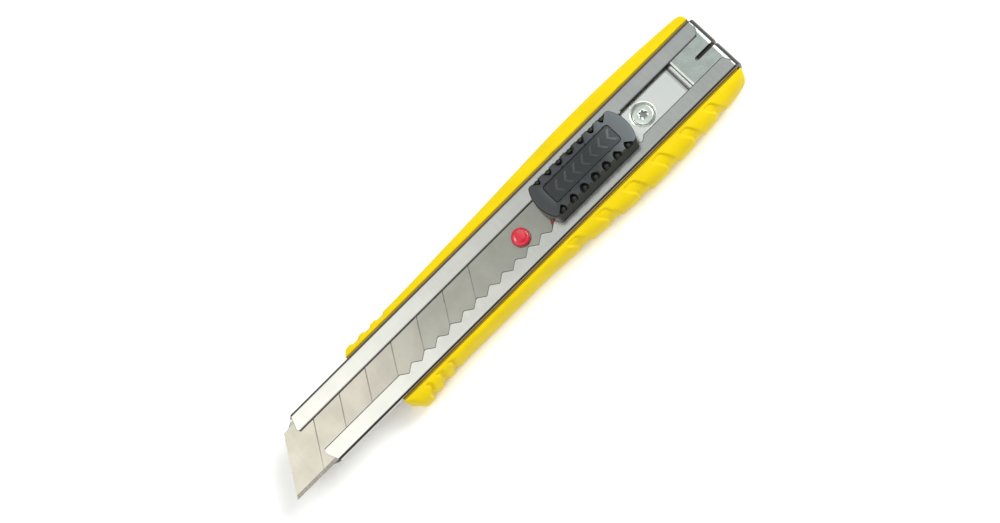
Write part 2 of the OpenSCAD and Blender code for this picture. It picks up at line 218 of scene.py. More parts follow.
def new_material(name):
    """An empty material and its tree, with one Principled shader wired to the output."""
    material = bpy.data.materials.new(name)
    material.use_nodes = True
    tree = material.node_tree
    tree.nodes.clear()
    shader = add(tree, "ShaderNodeBsdfPrincipled")
    add(tree, "ShaderNodeOutputMaterial", {"Surface": shader.outputs[0]})
    return material, tree, shader


def object_pattern(tree, kind, grain_mm, stretch=(1, 1, 1), **inputs):
    """A texture on Object coordinates whose grain is grain_mm, drawn out by stretch."""
    where = add(tree, "ShaderNodeTexCoord").outputs["Object"]
    scale = tuple(1 / (grain_mm * MM * s) for s in stretch)
    mapped = add(tree, "ShaderNodeMapping", {"Vector": where, "Scale": scale})
    return add(tree, kind, {"Vector": mapped.outputs[0], "Scale": 1.0, **inputs})


def ramp(tree, factor, *stops):
    """Colour ramp through (position, colour or grey) stops."""
    made = add(tree, "ShaderNodeValToRGB", {"Fac": factor})
    elements = made.color_ramp.elements
    while len(elements) < len(stops):
        elements.new(0.5)
    for element, (position, colour) in zip(elements, stops):
        element.position = position
        rgb = (colour,) * 3 if isinstance(colour, float) else colour
        element.color = (*rgb, 1.0)
    return made.outputs[0]


def bump(tree, height, depth_mm, below=None):
    """Bump of depth_mm; below is the normal that it lies on."""
    inputs = {"Height": height, "Distance": depth_mm * MM, "Strength": 1.0}
    if below is not None:
        inputs["Normal"] = below
    return add(tree, "ShaderNodeBump", inputs).outputs[0]


def scaled(colour, factor):
    """A colour made lighter or darker."""
    return tuple(min(1.0, c * factor) for c in colour)


def cut_and_painted_light_mix(tree, tone, dark):
    """A tone that turns to the colour dark where the attribute cut_edge_and_painted_light is 1: cut edges, painted
    shade and painted sheen; meshes without it keep the tone.
    """
    cut = add(tree, "ShaderNodeAttribute", attribute_name="cut_edge_and_painted_light").outputs["Fac"]
    return add(tree, "ShaderNodeMix", {0: cut, 6: tone, 7: (*dark, 1.0)}, data_type="RGBA").outputs[2]


def metal(tree, shader, tone, dark):
    """Wires a metal whose marked parts are dark and no longer metallic: cut edges and painted shade."""
    tree.links.new(cut_and_painted_light_mix(tree, tone, dark), shader.inputs["Base Color"])
    cut = add(tree, "ShaderNodeAttribute", attribute_name="cut_edge_and_painted_light").outputs["Fac"]
    bare = add(tree, "ShaderNodeMath", {0: 1.0, 1: cut}, operation="SUBTRACT", use_clamp=True)
    tree.links.new(bare.outputs[0], shader.inputs["Metallic"])


def mark(mesh, share_of):
    """Writes the attribute cut_edge_and_painted_light from share_of(x, y, z), whose arguments are in millimetres:
    cut edges and painted light and shade.
    """
    co = np.empty(len(mesh.vertices) * 3, np.float32)
    mesh.vertices.foreach_get("co", co)
    share = np.asarray(share_of(*(co.reshape(-1, 3).T.astype(float) / MM)), np.float32)
    mesh.attributes.new("cut_edge_and_painted_light", "FLOAT", "POINT").data.foreach_set("value", share)


def rolled_stainless(colour):
    """Cold-rolled stainless sheet: soft mirror, faint streaks, dark where marked (cut edges and painted shade);
    painted lighter where the mark is below 0.
    """
    material, tree, shader = new_material("rolled_stainless")
    lines = object_pattern(tree, "ShaderNodeTexNoise", 0.16, (1, 30, 1), Detail=3.0)
    clouds = object_pattern(tree, "ShaderNodeTexNoise", 7.0, (1.6, 1, 1), Detail=3.0)
    tone = ramp(tree, clouds.outputs[0], (0.3, scaled(colour, 0.95)), (0.7, scaled(colour, 1.04)))
    marks = ramp(tree, lines.outputs[0], (0.36, 0.90), (0.64, 1.0))
    mixed = add(tree, "ShaderNodeMix", {0: 0.6, 6: tone, 7: marks}, data_type="RGBA",
                blend_type="MULTIPLY")
    flat = add(tree, "ShaderNodeAttribute", attribute_name="cut_edge_and_painted_light").outputs["Fac"]
    # a mark below 0 paints the sheet lighter: painted light on the channel's floor
    painted_brightening = add(tree, "ShaderNodeMath", {0: flat, 1: -1.0}, operation="MULTIPLY").outputs[0]
    toned = add(tree, "ShaderNodeMix", {0: painted_brightening, 6: mixed.outputs[2],
                                        7: (*scaled(colour, 1.6), 1.0)}, data_type="RGBA")
    metal(tree, shader, toned.outputs[2], (0.022, 0.021, 0.019))
    rough = add(tree, "ShaderNodeMapRange", {"Value": lines.outputs[0], "To Min": 0.15,
                                            "To Max": 0.24})
    tree.links.new(rough.outputs[0], shader.inputs["Roughness"])
    tree.links.new(bump(tree, lines.outputs[0], 0.0008), shader.inputs["Normal"])
    return material


def ground_blade_steel(colour, edge_x, edge_y):
    """Ground carbon tool steel: warm grey sheen, coarser grind on the sharpened band, score lines darkened as
    painted shade; painted shade also darkens and cools the rear.
    """
    material, tree, shader = new_material("ground_blade_steel")
    where = add(tree, "ShaderNodeTexCoord").outputs["Object"]
    across = add(tree, "ShaderNodeSeparateXYZ", {"Vector": where}).outputs["Y"]
    band = add(tree, "ShaderNodeMapRange", {"Value": across, "From Min": (edge_y + 1.1) * MM,
                                           "From Max": (edge_y + 1.25) * MM, "To Min": 1.0,
                                           "To Max": 0.0}).outputs[0]
    clouds = object_pattern(tree, "ShaderNodeTexNoise", 7.0, (1, 1, 1), Detail=2.0)
    grind = object_pattern(tree, "ShaderNodeTexNoise", 0.3, (1, 14, 1), Detail=4.0)
    tone = ramp(tree, clouds.outputs[0], (0.35, scaled(colour, 0.93)), (0.65, scaled(colour, 1.05)))
    ground = ramp(tree, grind.outputs[0], (0.35, scaled(colour, 0.40)), (0.65, scaled(colour, 0.64)))
    mixed = add(tree, "ShaderNodeMix", {0: band, 6: tone, 7: ground}, data_type="RGBA")
    # painted shade and reflection: the steel is painted cooler and darker from the fourth segment on
    painted_shade_ramp = ramp(tree, add(tree, "ShaderNodeMapRange", {
        "Value": add(tree, "ShaderNodeSeparateXYZ", {"Vector": where}).outputs["X"],
        "From Min": (edge_x + 38) * MM, "From Max": (edge_x + 66) * MM}).outputs[0],
        (0.0, 1.0), (1.0, (0.80, 0.845, 0.865)))
    painted_shaded = add(tree, "ShaderNodeMix", {0: 1.0, 6: mixed.outputs[2], 7: painted_shade_ramp}, data_type="RGBA",
                blend_type="MULTIPLY")
    metal(tree, shader, painted_shaded.outputs[2], scaled(colour, 0.28))
    rough = add(tree, "ShaderNodeMapRange", {"Value": grind.outputs[0], "To Min": 0.16,
                                            "To Max": 0.26})
    tree.links.new(rough.outputs[0], shader.inputs["Roughness"])
    tree.links.new(bump(tree, grind.outputs[0], 0.003), shader.inputs["Normal"])
    return material


def grained_metal(name, colour, grain_mm, rough, depth_mm=0.01):
    """Plated or stamped steel: metallic, fine grain, cloudy tone; dark and unpolished where marked, which is painted
    shade in the screws' recesses and a painted dark reflection on the clip's rear bend.
    """
    material, tree, shader = new_material(name)
    grain = object_pattern(tree, "ShaderNodeTexNoise", grain_mm, (1, 1, 1), Detail=3.0)
    clouds = object_pattern(tree, "ShaderNodeTexNoise", grain_mm * 9, (1, 1, 1), Detail=2.0)
    tone = ramp(tree, clouds.outputs[0], (0.35, scaled(colour, 0.90)), (0.65, scaled(colour, 1.06)))
    metal(tree, shader, tone, scaled(colour, 0.05))
    spread = add(tree, "ShaderNodeMapRange", {"Value": grain.outputs[0], "To Min": rough - 0.07,
                                             "To Max": rough + 0.07})
    tree.links.new(spread.outputs[0], shader.inputs["Roughness"])
    tree.links.new(bump(tree, grain.outputs[0], depth_mm), shader.inputs["Normal"])
    return material


def moulded_plastic(name, colour, rough, grain_mm=0.25, depth_mm=0.012, coat=0.0, tone=0.05,
                    specular=0.5):
    """Moulded plastic or rubber: even colour, faint clouds, the mould's grain; paler where the attribute
    cut_edge_and_painted_light is set, which is a painted sheen.
    """
    material, tree, shader = new_material(name)
    grain = object_pattern(tree, "ShaderNodeTexNoise", grain_mm, (1, 1, 1), Detail=2.0)
    clouds = object_pattern(tree, "ShaderNodeTexNoise", 6.0, (2, 1, 1), Detail=2.0)
    shade = ramp(tree, clouds.outputs[0], (0.3, scaled(colour, 1 - tone)),
                 (0.7, scaled(colour, 1 + tone)))
    # the marked parts turn pale: a painted sheen
    tree.links.new(cut_and_painted_light_mix(tree, shade, scaled(colour, 17)), shader.inputs["Base Color"])
    spread = add(tree, "ShaderNodeMapRange", {"Value": grain.outputs[0], "To Min": rough - 0.05,
                                             "To Max": rough + 0.05})
    tree.links.new(spread.outputs[0], shader.inputs["Roughness"])
    shader.inputs["IOR"].default_value = 1.5
    shader.inputs["Specular IOR Level"].default_value = specular
    shader.inputs["Coat Weight"].default_value = coat
    shader.inputs["Coat Roughness"].default_value = 0.12
    tree.links.new(bump(tree, grain.outputs[0], depth_mm), shader.inputs["Normal"])
    return material


# ---------------------------------------------------------------- settings

def colour_property(label, hex_colour):
    """A colour that a user may change."""
    return bpy.props.FloatVectorProperty(name=label, description=f"Colour of the {label.lower()}",
                                         subtype="COLOR", size=3, min=0, max=1,
                                         default=linear(hex_colour))


def length_property(label, default, description):
    """A length in millimetres that a user may change."""
    return bpy.props.FloatProperty(name=label, description=description, default=default, min=0)


class KnifeColours(bpy.types.PropertyGroup):
    """Colours of the knife's materials."""
    grip: colour_property("Soft grips", "E4C900")
    core: colour_property("Hard core", "8C6E10")
    stainless: colour_property("Channel", "CACBC7")
    blade: colour_property("Blade", "AFABA1")
    button: colour_property("Slider button", "151718")
    inner_black: colour_property("Slider base", "17181A")
    carrier: colour_property("Blade carrier", "C4142E")
    screw: colour_property("Screws", "D0D8D1")
    clip: colour_property("End clip", "BCC3BE")
    brass: colour_property("Inserts", "C9A45A")
    spring: colour_property("Springs and rivets", "B4B5B8")
    floor: colour_property("Floor", "F6F6F5")


class KnifeSizes(bpy.types.PropertyGroup):
    """Sizes of the details, in millimetres."""
    scale_depth: length_property("Scale depth", 0.62, "Depth of the steps between the grip's scales")
    stop_depth: length_property("Stop depth", 0.8, "Depth of the steps between the finger stops")
    dip_depth: length_property("Dip depth", 0.55, "Depth of the dips at the spine grip's front")
    pocket_depth: length_property("Pocket depth", 1.7, "Depth of the button's side pockets")
    groove_depth: length_property("Groove depth", 0.42, "Depth of the line round the button's panel")
    slot_rim: length_property("Slot rim", 0.26, "Rounding along the channel's slot")


# ---------------------------------------------------------------- grips

# Outlines as (x from the blade's tip, distance in from the widest place), at the bends of each side
SPINE_OUTLINE = [
    (39.75, 5.2), (40.6, 3.9), (41.5, 2.95), (43.2, 2.78), (57.75, 2.75), (88.75, 1.8),
    (118.75, 0.62), (135.75, 0.04), (142, 0), (148.75, 0.04), (164.75, 0.55), (179.75, 1.45),
    (183.8, 1.85), (185.2, 2.25), (185.95, 3.2), (186.2, 5.2),
]
EDGE_OUTLINE = [
    (43.65, 5.2), (45.35, 3.3), (46.6, 1.85), (47.6, 1.38), (49.4, 1.32), (51.5, 1.7),
    (54.2, 2.15), (58.75, 2.8), (63.5, 3.2), (69.75, 3.4), (101.75, 3.38), (107.8, 3.05),
    (113.7, 2.5), (125.75, 1.4), (137.3, 0.4), (143, 0.03), (148, 0), (154, 0.03),
    (165.2, 0.62), (175.4, 1.55), (182.6, 2.6), (184.9, 3.3), (185.9, 4.1), (186.35, 5.3),
]
SCALE_STARTS = (118.75, 130.6, 142.5, 154.2, 165.2, 175.4)
SCALE_ENDS = (113.7, 125.6, 137.3, 149.4, 161.0, 171.4)
STOPS = ((50.45, 52.55), (55.05, 57.75), (60.2, 62.4))
DIPS = (45.1, 50.3, 55.75)


def section(half, inner, top, power=2.6, count=60):
    """Half of a superellipse from the top inner edge, round the side, to the underside; dense at both ends."""
    u = np.linspace(0, 1, count)
    t = np.pi * (0.62 * (1 - np.cos(np.pi * u)) / 2 + 0.38 * u)
    sine = np.clip(np.sin(t), 0, 1) ** (2 / power)
    cosine = np.sign(np.cos(t)) * np.abs(np.cos(t)) ** (2 / power)
    y = inner + (half[:, None] - inner) * sine[None]
    z = np.broadcast_to(top / 2 * (1 + cosine)[None], y.shape)
    return y, z.copy()


def grip_surface(stations, outline, inner, widest, top, cut):
    """Sections along X; cut(x, s) moves a point inward along the section's normal, s being the way from the seam."""
    half = widest - curve_through(outline, stations)
    y, z = section(half, inner, top)
    seam = 0.4
    near = np.clip((seam - (y - inner)) / seam, 0, 1)
    z -= np.where(z > top / 2, seam * (1 - np.sqrt(1 - near ** 2)), 0)
    run = np.hypot(np.gradient(y, axis=1), np.gradient(z, axis=1))
    s = np.cumsum(run, axis=1)
    s -= s[:, :1]
    ny, nz = np.gradient(z, axis=1) / run, -np.gradient(y, axis=1) / run
    flip = np.where(ny[:, 30:31] > 0, 1, -1)
    depth = cut(stations[:, None] + 0 * s, s)
    depth *= ease(0.0, 1.6, z)
    y, z = y - ny * flip * depth, z - nz * flip * depth
    y = np.maximum(y, inner)
    z = np.clip(z, 0, top)
    x = np.broadcast_to(stations[:, None], y.shape)
    # rounded ends: the section draws in toward the inner wall over the last half millimetre
    away = np.minimum(stations - stations[0], stations[-1] - stations)[:, None]
    soft = 0.55
    shrink = soft * (1 - np.sqrt(1 - np.clip(1 - away / soft, 0, 1) ** 2))
    z = z + shrink * (1 - 2 * z / top)
    points = np.stack([x, y, z], axis=-1)
    wall_z = np.linspace(0.02, 0.98, 5)[None] * (points[:, 0, 2] - points[:, -1, 2])[:, None]
    wall_z = wall_z + points[:, -1, 2][:, None]
    wall = np.stack([np.broadcast_to(stations[:, None], wall_z.shape),
                     np.full_like(wall_z, inner), wall_z], axis=-1)
    return np.concatenate([points, wall], axis=1)


def grip_stations(outline, step, fine=()):
    """Places along X: even steps, finer near both ends and round each listed place."""
    first, last = outline[0][0], outline[-1][0]
    even = np.arange(first, last, step)
    ends = np.concatenate([first + np.linspace(0, 1, 9) ** 2 * 1.2,
                           last - np.linspace(0, 1, 9) ** 2 * 1.2])
    near = np.concatenate([np.linspace(f - 0.6, f + 0.6, 9) for f in fine]) if len(fine) else []
    raw = np.sort(np.concatenate([even, ends, near]))
    keep = np.concatenate([[True], np.diff(raw) > 0.03])
    stations = raw[keep]
    stations[-1] = last
    return stations


def spine_cut(depth):
    """Three flat-bottomed dips with soft shoulders, faded out near the seam."""
    def cut(x, s):
        total = 0 * x
        for place in DIPS:
            total = total + ease(1.75, 0.95, np.abs(x - place))
        return depth * total * ease(0.6, 2.2, s)
    return cut


def edge_cut(scale_depth, stop_depth):
    """Arched recesses between scales, each bounded by two leaning curves and a round top; then finger stops."""
    def cut(x, s):
        total = 0 * x
        out = ease(0.8, 6.5, s)
        for low, high in zip(SCALE_ENDS, SCALE_STARTS):
            left = low - 2.6 + 2.7 * out
            right = high - 3.3 + 3.3 * ease(0.2, 8.5, s) ** 0.75
            middle, reach = (left + right) / 2, (right - left) / 2
            arch = 0.95 + 0.9 * np.abs(np.clip((x - middle) / reach, -1, 1)) ** 5
            total = total + (scale_depth * ease(-0.1, 0.45, x - left)
                             * ease(-0.02, 0.34, right - x) * ease(0.0, 0.5, s - arch))
        for low, high in STOPS:
            bulge = 1.5 * np.sin(np.pi * np.clip((s - 0.8) / 4.6, 0, 1))
            left = low + bulge
            right = high + 0.5 * bulge
            total = total + (stop_depth * ease(0.0, 0.45, x - left)
                             * ease(-0.5, 0.7, right - x) * ease(1.1, 2.0, s))
        return total
    return cut


class KNIFE_OT_spine_grip(bpy.types.Operator):
    """Soft grip along the spine side, with three dips at its front"""
    bl_idname = "knife.spine_grip"
    bl_label = "Spine Grip"

    def execute(self, context):
        sizes = context.scene.knife_sizes
        low, high = span("spine_grip")
        tip = span("snap_blade")[0][0]
        stations = grip_stations(SPINE_OUTLINE, 0.4, DIPS)
        points = grip_surface(stations, SPINE_OUTLINE, low[1], high[1], high[2],
                              spine_cut(sizes.dip_depth))
        points[..., 0] += tip
        mesh_piece("spine_grip_skin", [shell(with_caps(points))], "handle",
                   ["spine_grip"], MATERIALS["grip"], crease=50)
        return {"FINISHED"}


class KNIFE_OT_edge_grip(bpy.types.Operator):
    """Soft grip along the cutting-edge side, with finger stops in front and scales behind"""
    bl_idname = "knife.edge_grip"
    bl_label = "Edge Grip"

    def execute(self, context):
        sizes = context.scene.knife_sizes
        low, high = span("edge_grip")
        tip = span("snap_blade")[0][0]
        stations = grip_stations(EDGE_OUTLINE, 0.24)
        points = grip_surface(stations, EDGE_OUTLINE, -high[1], -low[1], high[2],
                              edge_cut(sizes.scale_depth, sizes.stop_depth))
        points[..., 0] += tip
        points[..., 1] *= -1
        mesh_piece("edge_grip_skin", [shell(with_caps(points))], "handle",
                   ["edge_grip"], MATERIALS["grip"], crease=60)
        return {"FINISHED"}


class KNIFE_OT_palm_pad(bpy.types.Operator):
    """Soft pad on the back: a thin slab whose underside has rounded cross ribs"""
    bl_idname = "knife.palm_pad"
    bl_label = "Palm Pad"

    def execute(self, context):
        low, high = span("palm_pad")
        lean = 3.6
        u = np.linspace(0, 1, 640)
        v = np.linspace(-1, 1, 41)
        y = v * high[1]
        front = low[0] + lean * (high[1] - y) / (high[1] - low[1])
        x = front[None] + u[:, None] * (high[0] - front)[None]
        y = np.broadcast_to(y[None], x.shape)
        phase = np.mod(x + 2.4 * np.abs(y) / high[1], 6.0)
        rib = ease(0.5, 1.0, phase) * ease(2.6, 2.1, phase)
        inside = (ease(9.9, 9.3, np.abs(y)) * ease(3.0, 4.0, x - front[None])
                  * ease(3.0, 4.0, high[0] - x))
        under = np.stack([x, y, low[2] + 0.55 * rib * inside], axis=-1)
        over = np.stack([x, y, np.full_like(x, high[2])], axis=-1)[:, ::-1]
        ring = np.concatenate([under, over], axis=1)
        mesh_piece("palm_pad_skin", [shell(with_caps(ring))], "handle",
                   ["palm_pad"], MATERIALS["grip"])
        return {"FINISHED"}


class KNIFE_OT_handle_core(bpy.types.Operator):
    """Hard core with its two thin lips beside the channel"""
    bl_idname = "knife.handle_core"
    bl_label = "Handle Core"

    def execute(self, context):
        softened_copy("handle_core_body", "handle_core", "handle",
                      MATERIALS["core"], 0.14)
        return {"FINISHED"}


# ---------------------------------------------------------------- channel and blade

class ChannelShape:
    """Places of the folded channel: a C-shaped sheet whose ends and slot edges depend on where they are."""
    sheet = 0.6
    fold_r = 1.1
    slot = 4.72
    slot_rear = 5.2
    notch_pitch = 5.5
    notch_count = 19
    notch_depth = 1.73
    notch_half = 2.38

    def __init__(self):
        low, high = span("blade_channel")
        self.out = high[1]
        self.bottom, self.top = high[2] - 2.8, high[2]
        self.rear = high[0]
        tip = span("snap_blade")[0][0]
        self.spine_wall, self.edge_wall = tip + 15.45, tip + 17.65
        self.first_notch = tip + 50.65
        self.wide_from = self.first_notch + (self.notch_count - 1) * self.notch_pitch + 1.5
        self.stop_x = tip + 171.1
        self.dimples = (tip + 53.75, tip + 155.95)

    def notch_places(self):
        return self.first_notch + np.arange(self.notch_count) * self.notch_pitch

    def slot_edge(self, x, edge_side):
        """Distance of the slot's edge from the middle; V notches on the edge side, widened at the rear."""
        half = self.slot + (self.slot_rear - self.slot) * ease(self.wide_from, self.wide_from + 0.5, x)
        if edge_side:
            off = np.abs(x[..., None] - self.notch_places()).min(-1)
            sharp = np.sqrt(off ** 2 + 0.12 ** 2) - 0.12
            half = np.maximum(half, self.slot + self.notch_depth * (1 - sharp / self.notch_half))
        return half

    def front(self, y, upper):
        """Front end: the upper sheet's prongs lean back from the slot, the floor keeps a leaning nose."""
        sw, ew = self.spine_wall, self.edge_wall
        prongs = [(-10.7, ew), (-9.6, ew - 0.4), (-6.32, ew - 1.8), (-5.8, ew - 1.78),
                  (-5.32, ew - 1.6), (-4.95, ew - 1.3), (-4.72, ew - 0.95), (0, sw),
                  (4.72, sw - 0.6), (4.9, sw - 0.95), (5.22, sw - 1.25), (5.6, sw - 1.38),
                  (5.92, sw - 1.4), (10.1, sw), (10.7, sw)]
        nose = [(-10.7, ew), (-9.3, ew - 3.3), (-8.9, ew - 3.55), (7.5, sw - 3.7), (8.0, sw - 3.8),
                (8.4, sw - 3.4), (10.7, sw)]
        ends = [np.interp(y, *np.array(points).T) for points in (prongs, nose)]
        return np.where(upper, ends[0], ends[1])

    def back(self, y, upper):
        """Rear end: each flange has a round inner corner."""
        r = 2.6
        in_by = np.clip(self.slot_rear + r - np.abs(y), 0, r)
        return self.rear - np.where(upper, r - np.sqrt(r * r - in_by ** 2), 0)

    def path(self, inner):
        """Points (share along the flange or none, y, z, upper) of one face of the sheet, spine side to edge side."""
        r = self.fold_r - (self.sheet if inner else 0)
        cy = self.out - self.fold_r
        up, down = self.top - self.fold_r, self.bottom + self.fold_r
        flange = [(t, cy, up + r, True) for t in (0, 0.03, 0.07, 0.13, 0.21, 0.33, 0.5, 0.75)]
        fold = [(None, cy + r * math.sin(a), up + r * math.cos(a), True)
                for a in np.linspace(0, np.pi / 2, 13)]
        under = [(None, cy + r * math.cos(a), down - r * math.sin(a), False)
                 for a in np.linspace(0, np.pi / 2, 7)]
        half = flange + fold + under + [(None, cy * t, down - r, False)
                                        for t in np.linspace(1, 0, 22)[1:]]
        mirror = [(t, -y, z, upper) for t, y, z, upper in half[-2::-1]]
        return half + mirror

    def stations(self):
        """Shares of the front, plain places along X, and shares of the rear."""
        notch = np.array([-2.6, -2.38, -2.15, -1.3, -0.4, -0.15, 0, 0.15, 0.4, 1.3, 2.15, 2.38, 2.6])
        near = [p + np.arange(-4.8, 4.81, 0.4) for p in self.dimples]
        rib = self.stop_x + np.array([-0.4, -0.3, -0.2, 0, 0.2, 0.3, 0.4])
        places = np.concatenate([
            np.arange(self.spine_wall + 4.3, self.rear - 4, 2.0),
            (self.notch_places()[:, None] + notch).ravel(), *near, rib,
            self.wide_from + np.linspace(0, 0.5, 6)])
        places = np.sort(places[(places > self.spine_wall + 4.2) & (places < self.rear - 3.6)])
        return places[np.concatenate([[True], np.diff(places) > 0.04])]


class KNIFE_OT_blade_channel(bpy.types.Operator):
    """Folded channel: a C section swept along X on a grid of stations and places round the sheet.

    Each face of the sheet runs flange, fold, wall, fold, floor and back up; a half-round rim joins the
    two faces along both slot edges. The dimples are turned shells over hollows in the floor.
    """
    bl_idname = "knife.blade_channel"
    bl_label = "Blade Channel"

    def sheet_face(self, shape, inner, x_of, soft):
        """Points of one face; the argument soft is not used."""
        columns = []
        for i, (share, y, z, upper) in enumerate(shape.path(inner)):
            row_y = np.full(len(x_of(0.0, upper)), float(y))
            x = x_of(row_y, upper)
            if share is not None:
                start = shape.slot_edge(x, y < 0) + self.rim
                row_y = np.sign(y) * (start + share * (abs(y) - start))
                x = x_of(row_y, upper)
            row_z = np.full_like(x, z)
            if not upper and abs(y) < 9.5:
                if inner:
                    rib = 0.3 * ease(0.3, 0.15, np.abs(x - shape.stop_x)) * ease(8.2, 7.8, abs(y))
                    row_z = row_z + rib
                for place in shape.dimples:
                    row_z = np.where(np.hypot(x - place, row_y) < self.mouth_r + 0.4, row_z - 1.75, row_z)
            columns.append(np.stack([x, row_y, row_z], -1))
        return np.stack(columns, 1)

    def rim_points(self, upper_edge, lower_edge, toward):
        """Half-round rim from one face's slot edge to the other's."""
        turns = np.radians([-60, -25, 0, 25, 60])
        middle = (upper_edge + lower_edge) / 2
        half = (upper_edge - lower_edge) / 2
        reach = np.array([0, toward * self.rim, 0])
        return np.stack([middle - half * math.sin(t) * 1.0 + reach * math.cos(t) ** 0.5
                         for t in turns], 1)

    def dimple(self, shape, place):
        """Pressed cup round a screw, turned about Z."""
        top, t, r = shape.bottom + shape.sheet, shape.sheet, self.mouth_r
        floor_z = top - 1.3
        roll = np.radians(np.linspace(90, 20, 8))
        profile = [(r + 0.85, top - 0.05), (r + 0.8, top + 0.004), (r + 0.35, top + 0.012)]
        profile += [(r + 0.35 - 0.42 * math.cos(a), top + 0.012 - 0.42 * (1 - math.sin(a)))
                    for a in roll[1:]]
        profile += [(3.46, floor_z + 0.1), (3.36, floor_z), (1.6, floor_z), (1.6, floor_z - t),
                    (3.7, floor_z - t), (r + 0.3, top - t), (r + 0.85, top - t)]
        profile = np.array(profile)
        a = np.linspace(0, 2 * np.pi, 96, endpoint=False)
        ring = np.stack([place + profile[:, :1] * np.cos(a), profile[:, :1] * np.sin(a),
                         np.broadcast_to(profile[:, 1:], (len(profile), len(a)))], -1)
        return shell(np.concatenate([ring, ring[:1]]))

    def execute(self, context):
        shape = ChannelShape()
        self.rim = context.scene.knife_sizes.slot_rim
        self.mouth_r = 3.8
        plain = shape.stations()
        lead = np.concatenate([[0, 0.012, 0.03], np.linspace(0.08, 0.92, 14)])
        soft = np.zeros(len(lead) * 2 + len(plain))
        soft[:2] = soft[:-3:-1] = (0.22, 0.07)

        def x_of(y, upper):
            first, last = shape.front(y, upper), shape.back(y, upper)
            first = np.broadcast_to(first, (soft.size,))[:len(lead)]
            last = np.broadcast_to(last, (soft.size,))[-len(lead):]
            start, stop = plain[0] - 0.3, plain[-1] + 0.3
            return np.concatenate([first + lead * (start - first), plain,
                                   last - lead[::-1] * (last - stop)])

        outer = self.sheet_face(shape, False, x_of, soft)
        inner = self.sheet_face(shape, True, x_of, soft)
        draw = soft[:, None, None] * (inner - outer)
        outer, inner = outer + draw, inner - draw
        edge_rim = self.rim_points(outer[:, -1], inner[:, -1], 1)
        spine_rim = self.rim_points(inner[:, 0], outer[:, 0], -1)
        ring = np.concatenate([outer, edge_rim, inner[:, ::-1], spine_rim], 1)
        points, quads = shell(ring)
        rows, columns = ring.shape[:2]
        across, rims = outer.shape[1], edge_rim.shape[1]
        caps = []
        for row, turn in ((0, 1), (rows - 1, -1)):
            base = row * columns
            for i in range(across - 1):
                other = across + rims + (across - 1 - i)
                caps.append([base + i, base + i + 1, base + other - 1, base + other][::turn])
            for start, count in ((across - 1, rims), (2 * across + rims - 1, rims)):
                loop = [base + (start + i) % columns for i in range(count + 2)]
                caps += [[loop[i], loop[i + 1], loop[-2 - i], loop[-1 - i]][::turn]
                         for i in range(count // 2)]
                middle = count // 2
                caps.append([loop[middle], loop[middle + 1], loop[middle + 2]][::turn] + [loop[middle]])
        quads = [list(q) for q in quads] + [q if len(set(q)) == 4 else q[:3] for q in caps]
        shells = [(points, quads)] + [self.dimple(shape, place) for place in shape.dimples]
        piece = mesh_piece("blade_channel_sheet", shells, "handle",
                           ["blade_channel"], MATERIALS["stainless"], crease=42)
        # the slot's cut rims are dark, their own raw edge with painted shade of the gap beside them; the folds carry
        # a painted dark reflection, the stop rib and the floor under the slit painted shade, the floor's nose
        # painted shade and the rest of the floor painted light
        slit_x = span("end_clip")[1][0] - 9.0

        def sheared_and_painted_light(x, y, z):
            upper = z > shape.top - shape.fold_r
            edge = np.where(y < 0, shape.slot_edge(x, True), shape.slot_edge(x, False))
            near = np.where(upper, ease(self.rim + 0.06, self.rim - 0.02, np.abs(y) - edge), 0)
            near *= np.where(y > 0, 0.75, 1)
            ends = np.minimum(x - shape.front(y, upper), shape.back(y, upper) - x)
            corner = upper & (x > shape.rear - 3) & (np.abs(y) < 7.9)
            near = np.maximum(near, np.where(corner, ease(0.42, 0.2, ends), ease(0.1, 0.03, ends)))
            # painted shade: the stop rib reads as a dark line
            rib = ease(0.45, 0.3, np.abs(x - shape.stop_x)) * (z > shape.bottom + shape.sheet - 0.02)
            # painted shade on the floor's nose, and painted light (below 0) on the rest of the floor
            floor_painted_light = np.where(x < shape.spine_wall + 3, 0.35, -1.0) * (np.abs(y) < 9.5)
            # painted shade on the floor under the clip's slit
            dark = np.maximum(rib, (x > slit_x) & (np.abs(y) < 1.4))
            floor_painted_light = np.where(dark > 0.02, dark, floor_painted_light)
            # a painted dark reflection along the outer folds
            turned = ease(0.02, 0.09, shape.top - z) * ease(0.7, 0.45, shape.top - z)
            near = np.maximum(near, turned * upper * (np.abs(y) > 9))
            return np.where(upper | (near > 0.02), near, floor_painted_light)

        mark(piece.data, sheared_and_painted_light)
        return {"FINISHED"}


class KNIFE_OT_snap_blade(bpy.types.Operator):
    """Snap-off blade with its score lines and ground edge"""
    bl_idname = "knife.snap_blade"
    bl_label = "Snap Blade"

    def execute(self, context):
        piece = softened_copy("snap_blade_steel", "snap_blade", "carriage",
                              MATERIALS["blade"], 0.02, segments=1, crease=3)
        low, high = span("snap_blade")
        # painted shade: the score grooves and the blade's cut faces are painted dark
        mark(piece.data, lambda x, y, z: (z > low[2] + 0.08) & (z < high[2] - 0.008)
             & (y > low[1] + 1.2))
        return {"FINISHED"}


# ---------------------------------------------------------------- slider

